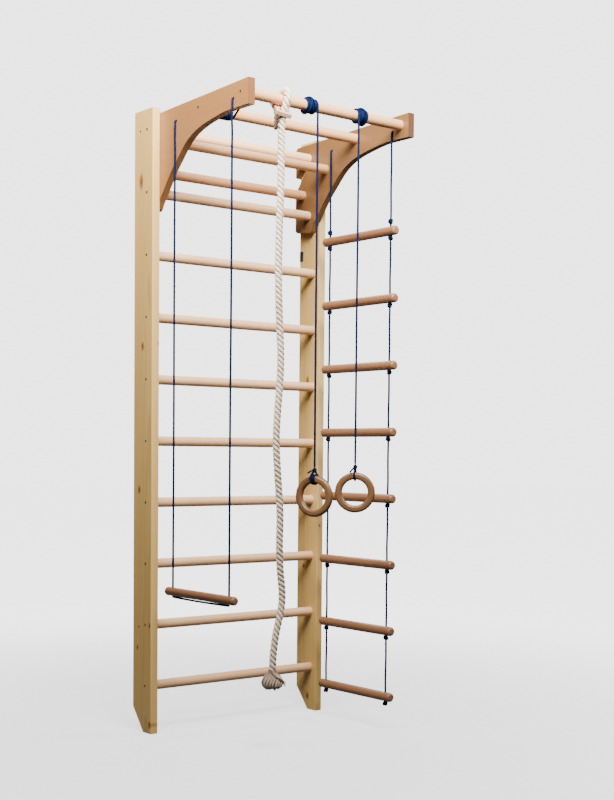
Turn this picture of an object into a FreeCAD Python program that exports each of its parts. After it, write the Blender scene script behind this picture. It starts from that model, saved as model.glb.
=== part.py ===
"""Wall bars with a pull-up frame, a climbing rope, rings, a trapeze and a rope ladder.

X runs along the rungs, Y towards the wall and Z up. The origin is midway between the
posts, where the floor meets the wall. Depths are given as distances from the wall.
"""
import FreeCAD, Part
import os
from math import acos, atan, ceil, cos, degrees, pi, radians, sin, sqrt, tan

V = FreeCAD.Vector
os.makedirs("parts", exist_ok=True)

# Overall sizes, mm
overall_width = 780.0
overall_height = 2200.0
frame_reach = 643.0
overrun = 10.0

# Posts
post_thick = 30.0
post_depth = 120.0
post_round = 4.0
foot_cut_high = 84.0
foot_cut_deep = 69.0

# Rungs between the posts
rung_diameter = 35.0
rung_count = 10
first_rung_height = 167.75
top_rung_drop = 70.25
rung_from_wall = 80.0
socket_depth = 15.0
socket_clearance = 0.15
end_clearance = 0.3

# Countersunk screws
screw_diameter = 5.0
screw_length = 50.0
screw_head_diameter = 10.0
screw_head_depth = 2.8
screw_recess_long = 5.2
screw_recess_wide = 1.2
screw_recess_deep = 1.6
screw_clearance = 0.1

# Holes for wall angles in the posts' outer faces
angle_hole_diameter = 5.0
angle_hole_deep = 20.0
angle_hole_from_wall = 38.0
angle_hole_top_drop = 70.5
angle_hole_spacing = 1754.5

# Steel angles let into the posts' rear edges
hanger_high = 38.0
hanger_leg = 20.0
hanger_thick = 2.0
hanger_height = 1767.0
hanger_clearance = 0.1

# Plates of the pull-up frame
plate_thick = 26.0
plate_wall_gap = 2.0
plate_top_drop = 1.0
plate_top_slope = 18.0
plate_tail = 63.75
nose_height = 84.0
plate_corner_round = 14.0
plate_tail_rise = 7.0
slot_clearance = 1.0
slot_angle = 49.6
pass_clearance = 0.3
plate_curve_shares = [
    (0.840, 0.238), (0.690, 0.265), (0.532, 0.328), (0.426, 0.430), (0.360, 0.541),
    (0.295, 0.655), (0.212, 0.835), (0.163, 0.950),
]
plate_tail_share = 0.125

# Bars of the pull-up frame
front_bar_diameter = 36.0
front_bar_inset = 45.0
front_bar_drop = 37.0
middle_bar_diameter = 36.0
middle_bar_share = 0.5513
middle_bar_drop = 41.4
rear_bar_diameter = 35.0
upper_rear_share = 0.2877
upper_rear_drop = 126.4
lower_rear_share = 0.0754
lower_rear_rise = 82.25
bar_socket_depth = 13.0

# Thin cord, and its holes through the plates
cord_diameter = 6.0
cord_hole_diameter = 8.0
cord_hole_ease = 2.0
inner_hole_share = 0.342
inner_hole_drop = 62.0
outer_hole_share = 0.8694
outer_hole_drop = 53.0
touch_gap = 0.3
knot_diameter = 15.0
knot_bite = 1.0

# How the turns of cord are built and measured
stations_per_turn = 4
heading_step = 1e-5
straight_limit = 1e-9
apart_along = 24.0

# Hinges of what hangs on the plates
cord_exit_drop = 77.0
plate_edge_drop = 205.0

# Rings
ring_outer_diameter = 140.0
ring_wide = 25.0
ring_thick = 22.0
ring_round = 9.5
ring_cord_end_drop = 24.0
left_ring_x = -56.5
right_ring_x = 124.0
left_ring_height = 856.0
right_ring_height = 867.0
left_ring_turn = 68.0
right_ring_turn = 47.0
ring_knot_rise = 18.5
left_wrap_turns = 1
right_wrap_turns = 0
ring_wrap_pitch = 13.0
ring_wrap_gap = 1.4
ring_wrap_lead = 62.0
ring_neck = 6.0
ring_tail_long = 22.0
left_tail_dip = 18.0
right_tail_dip = 38.0

# Windings on the bars
winding_turns = 5.25
left_winding_pitch = 8.0
right_winding_pitch = 7.8
trapeze_winding_turns = 13
trapeze_winding_pitch = 7.8
trapeze_lead_turn = 8.0
trapeze_lead_ease = 30.0
trapeze_lead_straight = 18.0
trapeze_lead_side = 14.0

# Trapeze
trapeze_drop = 1683.5
trapeze_bar_diameter = 30.0
trapeze_bar_margin = 37.0
bar_end_round = 9.0
through_clearance = 0.5

# Rope ladder
ladder_drop = 402.5
ladder_pitch = 239.0
ladder_rung_count = 8
ladder_rung_diameter = 33.0
ladder_rung_margin = 32.0
ladder_top_knot_rise = 9.5
ladder_hinge_drop = 46.0
ladder_end_drop = 28.0

# Climbing rope, its loop over the front bar and the wooden slider below the bar
rope_diameter = 25.0
rope_x = -194.0
rope_lead = 2.0
slider_wide = 56.0
slider_thick = 16.0
slider_wall = 4.0
slider_round = 3.0
slider_gap = 0.5
slider_tilt = 38.0
sling_turn = 20.0
sling_settle_share = 0.4
front_leg_lean = 25.0
rear_leg_lean = 20.0
front_leg_turn = 60.0
rear_leg_turn = 40.0
rope_hinge_drop = 112.0
rope_tail_drop = 84.0
rope_hole_clearance = 0.5
rope_knot_diameter = 76.0
rope_knot_high = 64.0
rope_knot_widest_share = 0.6
rope_bend_share = 0.45
rope_fray_diameter = 58.0

# The rope's hanging route below its hinge: sideways from the loop, and height
rope_route = [
    (0.0, 1895.0), (-6.0, 1735.0), (-8.5, 1590.0), (-1.5, 1430.0), (6.5, 1320.0),
    (1.0, 1215.0), (-9.5, 1105.0), (-12.0, 1030.0), (-6.0, 955.0), (1.0, 880.0),
    (8.5, 795.0), (5.0, 700.0), (8.0, 620.0), (22.0, 520.0), (10.0, 455.0),
    (-5.0, 405.0), (-15.0, 345.0), (-19.0, 300.0),
]
rope_end = (-19.0, 274.0)

# Places worked out from the sizes above
half_width = overall_width / 2
post_inner_x = half_width - post_thick
plate_inner_x = post_inner_x - plate_thick
rung_pitch = (overall_height - top_rung_drop - first_rung_height) / (rung_count - 1)
top_rung_height = overall_height - top_rung_drop
rung_nine_height = top_rung_height - rung_pitch
plate_top = overall_height - plate_top_drop
plate_bottom = rung_nine_height - plate_tail
plate_height = plate_top - plate_bottom
cord_radius = cord_diameter / 2
bend_radius = cord_diameter
knot_radius = knot_diameter / 2
rope_radius = rope_diameter / 2


def depth(from_wall):
    """The Y of a place that lies this far in front of the wall."""
    return -from_wall


def frame_drop(drop):
    """The height of a place that lies this far below the plates' top."""
    return plate_top - drop


front_bar = (depth(frame_reach - front_bar_inset), frame_drop(front_bar_drop))
middle_bar = (depth(middle_bar_share * frame_reach), frame_drop(middle_bar_drop))
upper_rear = (depth(upper_rear_share * frame_reach), frame_drop(upper_rear_drop))
lower_rear = (depth(lower_rear_share * frame_reach), rung_nine_height + lower_rear_rise)
inner_hole = (depth(inner_hole_share * frame_reach), frame_drop(inner_hole_drop))
outer_hole = (depth(outer_hole_share * frame_reach), frame_drop(outer_hole_drop))
cord_rows = [inner_hole[0], outer_hole[0]]
trapeze_x = -post_inner_x - cord_radius - touch_gap
ladder_x = plate_inner_x - cord_radius - touch_gap
exit_hinge = frame_drop(cord_exit_drop)
edge_hinge = frame_drop(plate_edge_drop)
trapeze_height = frame_drop(trapeze_drop)
wrap_radius = front_bar_diameter / 2 + touch_gap + cord_radius
ring_row = front_bar[0] - wrap_radius
ring_hinge = front_bar[1] - ring_cord_end_drop


def save(name, shapes):
    """Write one sub-part: one solid, or a group of separate like solids."""
    group = shapes if isinstance(shapes, list) else [shapes]
    for shape in group:
        if not shape.isValid() or shape.Volume <= 0:
            raise ValueError(name + " is not a sound solid")
    solids = [solid for shape in group for solid in shape.Solids]
    whole = solids[0] if len(solids) == 1 else Part.makeCompound(solids)
    whole.exportStep("parts/" + name + ".step")


def block(low, high):
    """A box between two corners."""
    size = [high[i] - low[i] for i in range(3)]
    return Part.makeBox(size[0], size[1], size[2], V(*low))


def bar_along_x(radius, x0, x1, place):
    """A round bar along X with its axis at place, which is (y, z)."""
    return Part.makeCylinder(radius, x1 - x0, V(x0, place[0], place[1]), V(1, 0, 0))


def mirrored(shape):
    """The same shape on the other side of the middle."""
    return shape.mirror(V(0, 0, 0), V(1, 0, 0))


# Screws and their holes

def screw(face_x, place, inward):
    """A countersunk screw with its head flush in the face at face_x, pointing inward."""
    way = V(inward, 0, 0)
    head = Part.makeCone(screw_head_diameter / 2, screw_diameter / 2, screw_head_depth,
                         V(face_x, place[0], place[1]), way)
    shank = Part.makeCylinder(screw_diameter / 2, screw_length,
                              V(face_x, place[0], place[1]), way)
    solid = head.fuse(shank).removeSplitter()
    deep = inward * screw_recess_deep
    for long_y, long_z in [(screw_recess_long, screw_recess_wide),
                           (screw_recess_wide, screw_recess_long)]:
        low = (min(face_x - deep, face_x + deep), place[0] - long_y / 2, place[1] - long_z / 2)
        high = (max(face_x - deep, face_x + deep), place[0] + long_y / 2, place[1] + long_z / 2)
        solid = solid.cut(block(low, high))
    return solid


def screw_hole(face_x, place, inward):
    """The countersunk hole that the screw fills."""
    way = V(inward, 0, 0)
    head = Part.makeCone(screw_head_diameter / 2 + screw_clearance,
                         screw_diameter / 2 + screw_clearance,
                         screw_head_depth + screw_clearance,
                         V(face_x, place[0], place[1]), way)
    shank = Part.makeCylinder(screw_diameter / 2 + screw_clearance,
                              screw_length + screw_clearance,
                              V(face_x, place[0], place[1]), way)
    return head.fuse(shank)


# Cords: straight runs joined by arcs, and turns made of paired arcs

def unit(vector):
    """The vector at length one."""
    return vector * (1 / vector.Length)


def cornered_arc(p, q, corner):
    """The arc from p to q that is tangent to both lines through the corner."""
    middle = (p + q) * 0.5
    out = corner - middle
    half = (q - p).Length / 2
    turn = atan(out.Length / half)
    top = middle + out * (half * tan(turn / 2) / out.Length)
    return Part.Arc(p, top, q).toShape()


def biarc(p0, t0, p1, t1):
    """Two tangent arcs from p0, heading t0, to p1, heading t1."""
    v = p1 - p0
    a = 2 * (t0.dot(t1) - 1)
    b = -2 * v.dot(t0 + t1)
    c = v.dot(v)
    d = -c / b
    if abs(a) > straight_limit:
        d = (-b - sqrt(b * b - 4 * a * c)) / (2 * a)
    corner_a = p0 + t0 * d
    corner_b = p1 - t1 * d
    joint = (corner_a + corner_b) * 0.5
    return [cornered_arc(p0, joint, corner_a), cornered_arc(joint, p1, corner_b)]


def eased(points, radii):
    """Edges along the points, with an arc of the given radius at each inner point."""
    edges = []
    start = points[0]
    for i in range(1, len(points) - 1):
        before = unit(points[i] - points[i - 1])
        after = unit(points[i + 1] - points[i])
        turn = acos(max(-1, min(1, before.dot(after))))
        cut = radii[i - 1] * tan(turn / 2)
        into = points[i] - before * cut
        out = points[i] + after * cut
        edges.append(Part.LineSegment(start, into).toShape())
        edges.append(cornered_arc(into, out, points[i]))
        start = out
    edges.append(Part.LineSegment(start, points[-1]).toShape())
    return edges


def tube(edges, radius):
    """A round tube along the edges."""
    wire = Part.Wire(edges)
    first = edges[0]
    start = first.valueAt(first.FirstParameter)
    heading = first.tangentAt(first.FirstParameter)
    section = Part.Wire([Part.Circle(start, heading, radius).toShape()])
    solid = wire.makePipeShell([section], True, False).Solids[0]
    if solid.Volume < 0:
        solid.reverse()
    share = solid.Volume / (pi * radius * radius * wire.Length)
    print("  tube length %.1f, volume over section times length %.4f" % (wire.Length, share))
    return solid


def self_gap(edges, radius):
    """The least gap between parts of the tube that are a turn or more apart."""
    points = []
    run = 0
    for edge in edges:
        count = max(2, int(edge.Length / radius))
        for i in range(count):
            at = edge.FirstParameter + (edge.LastParameter - edge.FirstParameter) * i / count
            points.append((run + edge.Length * i / count, edge.valueAt(at)))
        run = run + edge.Length
    least = run
    for i in range(len(points)):
        for j in range(i + 1, len(points)):
            if points[j][0] - points[i][0] > apart_along:
                least = min(least, (points[j][1] - points[i][1]).Length)
    return least - 2 * radius


def turn_stations(centre_at, out_at, radius, first, last):
    """Points and headings at equal steps round a centre line."""
    steps = ceil(stations_per_turn * (last - first) / (2 * pi) - straight_limit)
    stations = []

    def place(angle):
        return centre_at(angle) + out_at(angle) * radius
    for i in range(steps + 1):
        angle = first + (last - first) * i / steps
        heading = unit(place(angle + heading_step) - place(angle - heading_step))
        stations.append((place(angle), heading))
    return stations


def through(stations):
    """Edges of paired arcs from station to station."""
    edges = []
    for (p0, t0), (p1, t1) in zip(stations, stations[1:]):
        edges.extend(biarc(p0, t0, p1, t1))
    return edges


def line(p, q):
    """A straight edge."""
    return Part.LineSegment(p, q).toShape()


def hanging_cord(x, y, top, bottom, radius):
    """A straight cord whose top is rounded about the hinge at top, with a flat lower end."""
    body = Part.makeCylinder(radius, top - bottom, V(x, y, bottom))
    return body.fuse(Part.makeSphere(radius, V(x, y, top))).removeSplitter()


def knot_ball(x, y, z):
    """The bulk of a small knot on a thin cord."""
    return Part.makeSphere(knot_radius, V(x, y, z))


# Posts

def left_post():
    """A post with a slanted cut behind its foot, blind sockets and screw holes."""
    x0 = -half_width
    post = block((x0, depth(post_depth), 0), (x0 + post_thick, depth(0), overall_height))
    upright = [edge for edge in post.Edges
               if edge.BoundBox.ZLength > post_depth
               and abs(edge.BoundBox.YMin - depth(post_depth)) < touch_gap]
    post = post.makeFillet(post_round, upright)
    corners = [V(x0 - overrun, depth(0), 0), V(x0 - overrun, depth(foot_cut_deep), 0),
               V(x0 - overrun, depth(0), foot_cut_high)]
    wedge = Part.Face(Part.makePolygon(corners + corners[:1]))
    post = post.cut(wedge.extrude(V(post_thick + 2 * overrun, 0, 0)))
    for place in rung_places():
        socket = bar_along_x(rung_diameter / 2 + socket_clearance,
                             -post_inner_x - socket_depth, -post_inner_x + overrun, place)
        post = post.cut(socket)
        post = post.cut(screw_hole(x0, place, 1))
    for height in angle_hole_heights():
        hole = bar_along_x(angle_hole_diameter / 2, x0 - overrun, x0 + angle_hole_deep,
                           (depth(angle_hole_from_wall), height))
        post = post.cut(hole)
    return post.cut(hanger(hanger_clearance, 0))


def rung_places():
    """The rung axes, lowest first, as (y, z)."""
    return [(depth(rung_from_wall), first_rung_height + i * rung_pitch) for i in range(rung_count)]


def angle_hole_heights():
    """The heights of the two holes for wall angles."""
    top = overall_height - angle_hole_top_drop
    return [top, top - angle_hole_spacing]


def hanger(grow, shown):
    """The left post's steel angle. Grown a little, and without the leg that shows, it is its recess."""
    x1 = -post_inner_x
    low = hanger_height - hanger_high / 2 - grow
    high = hanger_height + hanger_high / 2 + grow
    rear_leg = block((x1 - hanger_leg - grow, depth(hanger_thick + grow), low),
                     (x1, depth(0), high))
    if not shown:
        return rear_leg
    side_leg = block((x1, depth(hanger_leg), low), (x1 + hanger_thick, depth(0), high))
    return rear_leg.fuse(side_leg).removeSplitter()


# Rungs and bars

def rung(place):
    """A rung that reaches into both posts, bored at its ends for the screws."""
    end_x = post_inner_x + socket_depth - end_clearance
    solid = bar_along_x(rung_diameter / 2, -end_x, end_x, place)
    solid = solid.cut(screw_hole(-half_width, place, 1))
    return solid.cut(screw_hole(half_width, place, -1))


def frame_bar(diameter, place, screwed):
    """A bar between the plates, seated in blind sockets and, but for one, screwed from outside."""
    end_x = plate_inner_x + bar_socket_depth - end_clearance
    solid = bar_along_x(diameter / 2, -end_x, end_x, place)
    if not screwed:
        return solid
    solid = solid.cut(screw_hole(-post_inner_x, place, 1))
    return solid.cut(screw_hole(post_inner_x, place, -1))


def frame_bars():
    """Name, diameter, axis and whether it is screwed, for each bar of the pull-up frame."""
    return [("front_bar", front_bar_diameter, front_bar, True),
            ("middle_bar", middle_bar_diameter, middle_bar, True),
            ("rear_upper_bar", rear_bar_diameter, upper_rear, False),
            ("rear_lower_bar", rear_bar_diameter, lower_rear, True)]


# Plates

def plate_outline(x):
    """The plate's edge as a wire in the plane at x."""
    def at(from_wall, height):
        return V(x, depth(from_wall), height)

    curve_spots = [at(along * frame_reach, plate_top - down * plate_height)
                   for along, down in plate_curve_shares]
    top_corner = at(plate_wall_gap, plate_top - plate_top_slope)
    nose_top = at(frame_reach, plate_top)
    nose_low = at(frame_reach, plate_top - nose_height)
    tail = at(plate_tail_share * frame_reach, plate_bottom)
    low_corner = at(plate_wall_gap, plate_bottom + plate_tail_rise)

    top_start = top_corner + unit(nose_top - top_corner) * plate_corner_round
    rear_top = top_corner - V(0, 0, plate_corner_round)
    rear_low = low_corner + V(0, 0, plate_corner_round)
    tail_end = low_corner + unit(tail - low_corner) * plate_corner_round
    curve = Part.BSplineCurve()
    curve.interpolate(Points=curve_spots + [tail],
                      InitialTangent=unit(curve_spots[0] - nose_low), FinalTangent=V(0, 1, 0))
    return Part.Wire([
        line(top_start, nose_top), line(nose_top, nose_low), line(nose_low, curve_spots[0]),
        curve.toShape(), line(tail, tail_end), cornered_arc(tail_end, rear_low, low_corner),
        line(rear_low, rear_top), cornered_arc(rear_top, top_start, top_corner),
    ])


def left_plate():
    """The left plate, with its hook slot, bar sockets, cord holes and eased edges."""
    x0 = -post_inner_x
    x1 = -plate_inner_x
    plate = Part.Face(plate_outline(x0)).extrude(V(plate_thick, 0, 0))
    plate = plate.cut(hook_slot(x0 - overrun, x1 + overrun))
    plate = plate.cut(bar_along_x(rung_diameter / 2 + pass_clearance, x0 - overrun, x1 + overrun,
                                  rung_places()[-2]))
    for _, diameter, place, screwed in frame_bars():
        plate = plate.cut(bar_along_x(diameter / 2 + socket_clearance, x1 - bar_socket_depth,
                                      x1 + overrun, place))
        if screwed:
            plate = plate.cut(screw_hole(x0, place, 1))
    for place in [inner_hole, outer_hole]:
        radius = cord_hole_diameter / 2
        plate = plate.cut(bar_along_x(radius, x0 - overrun, x1 + overrun, place))
        for face_x, way in [(x0, 1), (x1, -1)]:
            plate = plate.cut(Part.makeCone(radius + cord_hole_ease, radius, cord_hole_ease,
                                            V(face_x, place[0], place[1]), V(way, 0, 0)))
    return plate


def hook_slot(x0, x1):
    """The slanted slot that hooks over the top rung, open at the plate's rear edge."""
    half = rung_diameter / 2 + slot_clearance
    axis = rung_places()[-1]
    angle = radians(slot_angle)
    along = V(0, cos(angle), -sin(angle))
    across = V(0, sin(angle), cos(angle)) * half
    far = along * ((rung_from_wall + half) / cos(angle) + half)
    start = V(x0, axis[0], axis[1])
    corners = [start + across, start + across + far, start - across + far, start - across]
    band = Part.Face(Part.makePolygon(corners + corners[:1])).extrude(V(x1 - x0, 0, 0))
    return band.fuse(bar_along_x(half, x0, x1, axis))


# Rings

def ring(x, height, turn):
    """A flat wooden ring with rounded edges, turned about its cord."""
    wide = ring_wide
    outer = ring_outer_diameter / 2
    profile = rounded_section(outer - wide, outer, ring_thick, ring_round)
    solid = profile.revolve(V(0, 0, 0), V(0, 1, 0), 360).Solids[0]
    solid.rotate(V(0, 0, 0), V(0, 0, 1), -turn)
    solid.translate(V(x, ring_row, height))
    return solid


def rounded_section(x0, x1, thick, rounding):
    """A rounded rectangle in the plane of X and Y, as a face."""
    half = thick / 2
    nip = rounding * (1 - cos(pi / 4))
    corners = [(x0, -half, 1, 1), (x1, -half, -1, 1), (x1, half, -1, -1), (x0, half, 1, -1)]
    edges = []
    previous = None
    first = None
    for i, (cx, cy, sx, sy) in enumerate(corners):
        beside = V(cx, cy + sy * rounding, 0)
        along = V(cx + sx * rounding, cy, 0)
        start, end = (beside, along) if i % 2 == 0 else (along, beside)
        if previous is not None:
            edges.append(line(previous, start))
        else:
            first = start
        edges.append(Part.Arc(start, V(cx + sx * nip, cy + sy * nip, 0), end).toShape())
        previous = end
    edges.append(line(previous, first))
    return Part.Face(Part.Wire(edges))


def ring_wrap(x, height, turn, extra_turns):
    """The cord's turns round the top of a ring, with both ends led up into the knot."""
    middle = ring_outer_diameter / 2 - ring_wide / 2
    knot_height = ring_outer_diameter / 2 + ring_knot_rise
    clear = ring_wrap_gap + cord_radius
    half_wide = ring_wide / 2 + clear
    half_thick = ring_thick / 2 + clear
    pitch_angle = ring_wrap_pitch / middle
    lead = radians(ring_wrap_lead)
    first = lead
    last = 2 * pi * (extra_turns + 1) - lead

    def lean(angle):
        return pitch_angle * (angle - (first + last) / 2) / (2 * pi)

    def centre_at(angle):
        return V(sin(lean(angle)) * middle, 0, cos(lean(angle)) * middle)

    def out_at(angle):
        up = V(sin(lean(angle)), 0, cos(lean(angle))) * (half_wide * cos(angle))
        return up + V(0, -1, 0) * (half_thick * sin(angle))
    stations = turn_stations(centre_at, out_at, 1, first, last)
    knot = V(0, 0, knot_height)
    reach = knot_radius - knot_bite
    into = unit(stations[0][0] - knot)
    away = unit(knot - stations[-1][0])
    start = knot + into * reach
    end = knot - away * reach
    lead_run = cord_diameter
    first_bend = start + into * lead_run
    last_bend = end - away * lead_run
    edges = [line(start, first_bend)]
    edges += biarc(first_bend, into, stations[0][0], stations[0][1])
    edges += through(stations)
    edges += biarc(stations[-1][0], stations[-1][1], last_bend, away)
    edges += [line(last_bend, end)]
    print("ring wrap: least gap to itself %.2f" % self_gap(edges, cord_radius))
    solid = tube(edges, cord_radius)
    solid.rotate(V(0, 0, 0), V(0, 0, 1), -turn)
    solid.translate(V(x, ring_row, height))
    return solid


def ring_knot(x, height, dip):
    """The knot over a ring, with its neck up to the cord and its cut-off tail."""
    top = height + ring_outer_diameter / 2 + ring_knot_rise
    ball = knot_ball(x, ring_row, top)
    neck = Part.makeCylinder(cord_radius, knot_radius + ring_neck, V(x, ring_row, top))
    tail = Part.makeCylinder(cord_radius, knot_radius + ring_tail_long, V(x, ring_row, top),
                             V(-cos(radians(dip)), 0, -sin(radians(dip))))
    return ball.fuse(neck).fuse(tail).removeSplitter()


def ring_cord(x, height):
    """The straight cord from the hinge below the bar down to the knot's neck."""
    bottom = height + ring_outer_diameter / 2 + ring_knot_rise + knot_radius + ring_neck
    return hanging_cord(x, ring_row, ring_hinge, bottom + touch_gap, cord_radius)


def bar_winding(x, pitch, side):
    """Turns on the front bar that end in a straight drop in front of it, at x."""
    axis_y, axis_z = front_bar

    def centre_at(angle):
        return V(x + side * pitch * angle / (2 * pi), axis_y, axis_z)

    def out_at(angle):
        return V(0, -cos(angle), -sin(angle))
    stations = turn_stations(centre_at, out_at, wrap_radius, -winding_turns * 2 * pi, 0)
    start, heading = stations[0]
    drop_start = V(x, ring_row, axis_z)
    stations[-1] = (drop_start, V(0, 0, -1))
    edges = [line(start - heading * cord_diameter, start)]
    edges += through(stations)
    edges += [line(drop_start, V(x, ring_row, ring_hinge + cord_radius + touch_gap))]
    print("bar winding: least gap to itself %.2f" % self_gap(edges, cord_radius))
    return tube(edges, cord_radius)


# Trapeze

def trapeze_winding():
    """One cord: up the plate, in through a hole, round the middle bar, out and down again."""
    axis_y, axis_z = middle_bar
    radius = middle_bar_diameter / 2 + touch_gap + cord_radius
    inner_x = -plate_inner_x + cord_radius + touch_gap
    first_x = inner_x + touch_gap
    last_x = first_x + trapeze_winding_turns * trapeze_winding_pitch
    low = exit_hinge + cord_radius + touch_gap

    def centre_at(angle):
        return V(first_x + trapeze_winding_pitch * angle / (2 * pi), axis_y, axis_z)

    def out_at(angle):
        return V(0, -sin(angle), -cos(angle))
    stations = turn_stations(centre_at, out_at, radius, 0, 2 * pi * trapeze_winding_turns)
    bottom = axis_z - radius
    stations[0] = (V(first_x, axis_y, bottom), V(0, -1, 0))
    stations[-1] = (V(last_x, axis_y, bottom), V(0, -1, 0))
    y1, z1 = inner_hole
    y2, z2 = outer_hole
    near = V(first_x, axis_y + trapeze_lead_straight, bottom)
    edges = eased([V(trapeze_x, y1, low), V(trapeze_x, y1, z1), V(inner_x, y1, z1), near],
                  [bend_radius, bend_radius])
    heading = unit(near - edges[-1].Vertexes[0].Point)
    edges += biarc(near, heading, stations[0][0], stations[0][1])
    edges += through(stations)
    off = V(last_x, axis_y - trapeze_lead_straight, bottom)
    edges += eased([stations[-1][0], off, V(inner_x + trapeze_lead_side, y2, z2),
                    V(trapeze_x, y2, z2), V(trapeze_x, y2, low)],
                   [trapeze_lead_ease, trapeze_lead_turn, bend_radius])
    print("trapeze winding: least gap to itself %.2f" % self_gap(edges, cord_radius))
    return tube(edges, cord_radius)


def trapeze_cord_lower():
    """Down one side, through the bar, along under it and up the other side."""
    under = trapeze_height - trapeze_bar_diameter / 2 - cord_radius - touch_gap
    y1, y2 = cord_rows
    edges = eased([V(trapeze_x, y1, edge_hinge), V(trapeze_x, y1, under),
                   V(trapeze_x, y2, under), V(trapeze_x, y2, edge_hinge)],
                  [bend_radius, bend_radius])
    print("trapeze cord: radius under the bar %.1f" % bend_radius)
    solid = tube(edges, cord_radius)
    for y in cord_rows:
        solid = solid.fuse(Part.makeSphere(cord_radius, V(trapeze_x, y, edge_hinge)))
    return solid.removeSplitter()


def trapeze_bar():
    """The seat bar, with an eased hole for each cord."""
    y0 = cord_rows[1] - trapeze_bar_margin
    y1 = cord_rows[0] + trapeze_bar_margin
    return holed_bar(trapeze_x, y0, y1, trapeze_height, trapeze_bar_diameter, cord_hole_ease)


def holed_bar(x, y0, y1, z, diameter, ease):
    """A round bar along Y with rounded ends and upright cord holes, eased at the bottom."""
    solid = Part.makeCylinder(diameter / 2, y1 - y0, V(x, y0, z), V(0, 1, 0))
    rims = [edge for edge in solid.Edges if edge.BoundBox.YLength < touch_gap]
    solid = solid.makeFillet(bar_end_round, rims)
    radius = cord_radius + through_clearance
    low = z - diameter / 2
    for y in cord_rows:
        hole = Part.makeCylinder(radius, diameter + 2 * overrun, V(x, y, low - overrun))
        if ease:
            hole = hole.fuse(Part.makeCone(radius + 2 * ease, radius, 2 * ease, V(x, y, low - ease)))
        solid = solid.cut(hole)
    return solid


# Rope ladder

def ladder_heights():
    """The heights of the ladder's rungs, highest first."""
    top = frame_drop(ladder_drop)
    return [top - i * ladder_pitch for i in range(ladder_rung_count)]


def ladder_rung(height):
    """One rung of the rope ladder."""
    y0 = cord_rows[1] - ladder_rung_margin
    y1 = cord_rows[0] + ladder_rung_margin
    return holed_bar(ladder_x, y0, y1, height, ladder_rung_diameter, 0)


def ladder_cords(index):
    """The two cords of one step: from the hinge, through the rung, to below its knots."""
    heights = ladder_heights()
    height = heights[index]
    top = edge_hinge if index == 0 else heights[index - 1] - ladder_hinge_drop
    last = index == ladder_rung_count - 1
    end = height - ladder_end_drop
    if not last:
        end = height - ladder_hinge_drop + cord_radius + touch_gap
    pair = []
    for y in cord_rows:
        away = ladder_rung_diameter / 2 + touch_gap + knot_radius
        cord = hanging_cord(ladder_x, y, top, end, cord_radius)
        cord = cord.fuse(knot_ball(ladder_x, y, height - away))
        if index == 0:
            cord = cord.fuse(knot_ball(ladder_x, y, height + away + ladder_top_knot_rise))
        pair.append(cord.removeSplitter())
    return pair


def ladder_anchor():
    """The two upper ends: a stopper knot outside, the hole, and the bend down inside."""
    pair = []
    for y, z in [inner_hole, outer_hole]:
        ball_x = post_inner_x + touch_gap + knot_radius
        edges = eased([V(ball_x, y, z), V(ladder_x, y, z),
                       V(ladder_x, y, exit_hinge + cord_radius + touch_gap)], [bend_radius])
        pair.append(tube(edges, cord_radius).fuse(knot_ball(ball_x, y, z)).removeSplitter())
    return pair


def upper_cords(x):
    """The pair of cords that lies on a plate, from the hole down to the plate's lower edge."""
    return [hanging_cord(x, y, exit_hinge, edge_hinge + cord_radius + touch_gap, cord_radius)
            for y in cord_rows]


# Climbing rope

def slide_axes():
    """The slider's slope, rear and up, and its thickness way, rear and down."""
    tilt = radians(slider_tilt)
    return V(0, cos(tilt), sin(tilt)), V(0, sin(tilt), -cos(tilt))


def rope_legs():
    """The loop's centre and radius, its way to the rear, and its two legs. Of each leg: where it
    leaves the bar, its way down, and where it meets the slider. The loop stands a little turned."""
    turn = radians(sling_turn)
    rearward = V(sin(turn), cos(turn), 0)
    rest = front_bar_diameter / 2 + touch_gap + rope_radius
    radius = rest / cos(turn)
    axis = V(rope_x + rope_lead * tan(turn), front_bar[0], front_bar[1])
    centre = axis - V(0, 0, sling_settle_share * (radius - rest))
    through_way = slide_axes()[-1]
    foot = axis + through_way * (front_bar_diameter / 2 + slider_gap + slider_thick / 2)
    legs = []
    for lean_degrees, side in [(front_leg_lean, -1), (rear_leg_lean, 1)]:
        lean = radians(lean_degrees)
        down = rearward * sin(lean) - V(0, 0, cos(lean))
        leaves = centre + (rearward * cos(lean) + V(0, 0, sin(lean))) * (side * radius)
        run = (foot - leaves).dot(through_way) / down.dot(through_way)
        legs.append((leaves, down, leaves + down * run))
    return centre, radius, rearward, legs


def rope_slider():
    """A wooden block with two slanting holes that grip the loop's legs."""
    legs = rope_legs()[-1]
    slope, through_way = slide_axes()
    hole = rope_radius + rope_hole_clearance
    front_room, rear_room = [hole / down.dot(through_way) + slider_wall for _, down, _ in legs]
    start = legs[0][2]
    between = legs[1][2] - start
    solid = block((-slider_wide / 2, -front_room, -slider_thick / 2),
                  (slider_wide / 2, between.Length + rear_room, slider_thick / 2))
    solid = solid.makeFillet(slider_round, solid.Edges)
    solid.rotate(V(0, 0, 0), V(1, 0, 0), slider_tilt)
    solid.rotate(V(0, 0, 0), through_way, degrees(atan(between.x / between.dot(slope))))
    solid.translate(start)
    for _, down, meets in legs:
        solid = solid.cut(Part.makeCylinder(hole, 2 * slider_wide, meets - down * slider_wide, down))
    return solid


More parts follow.
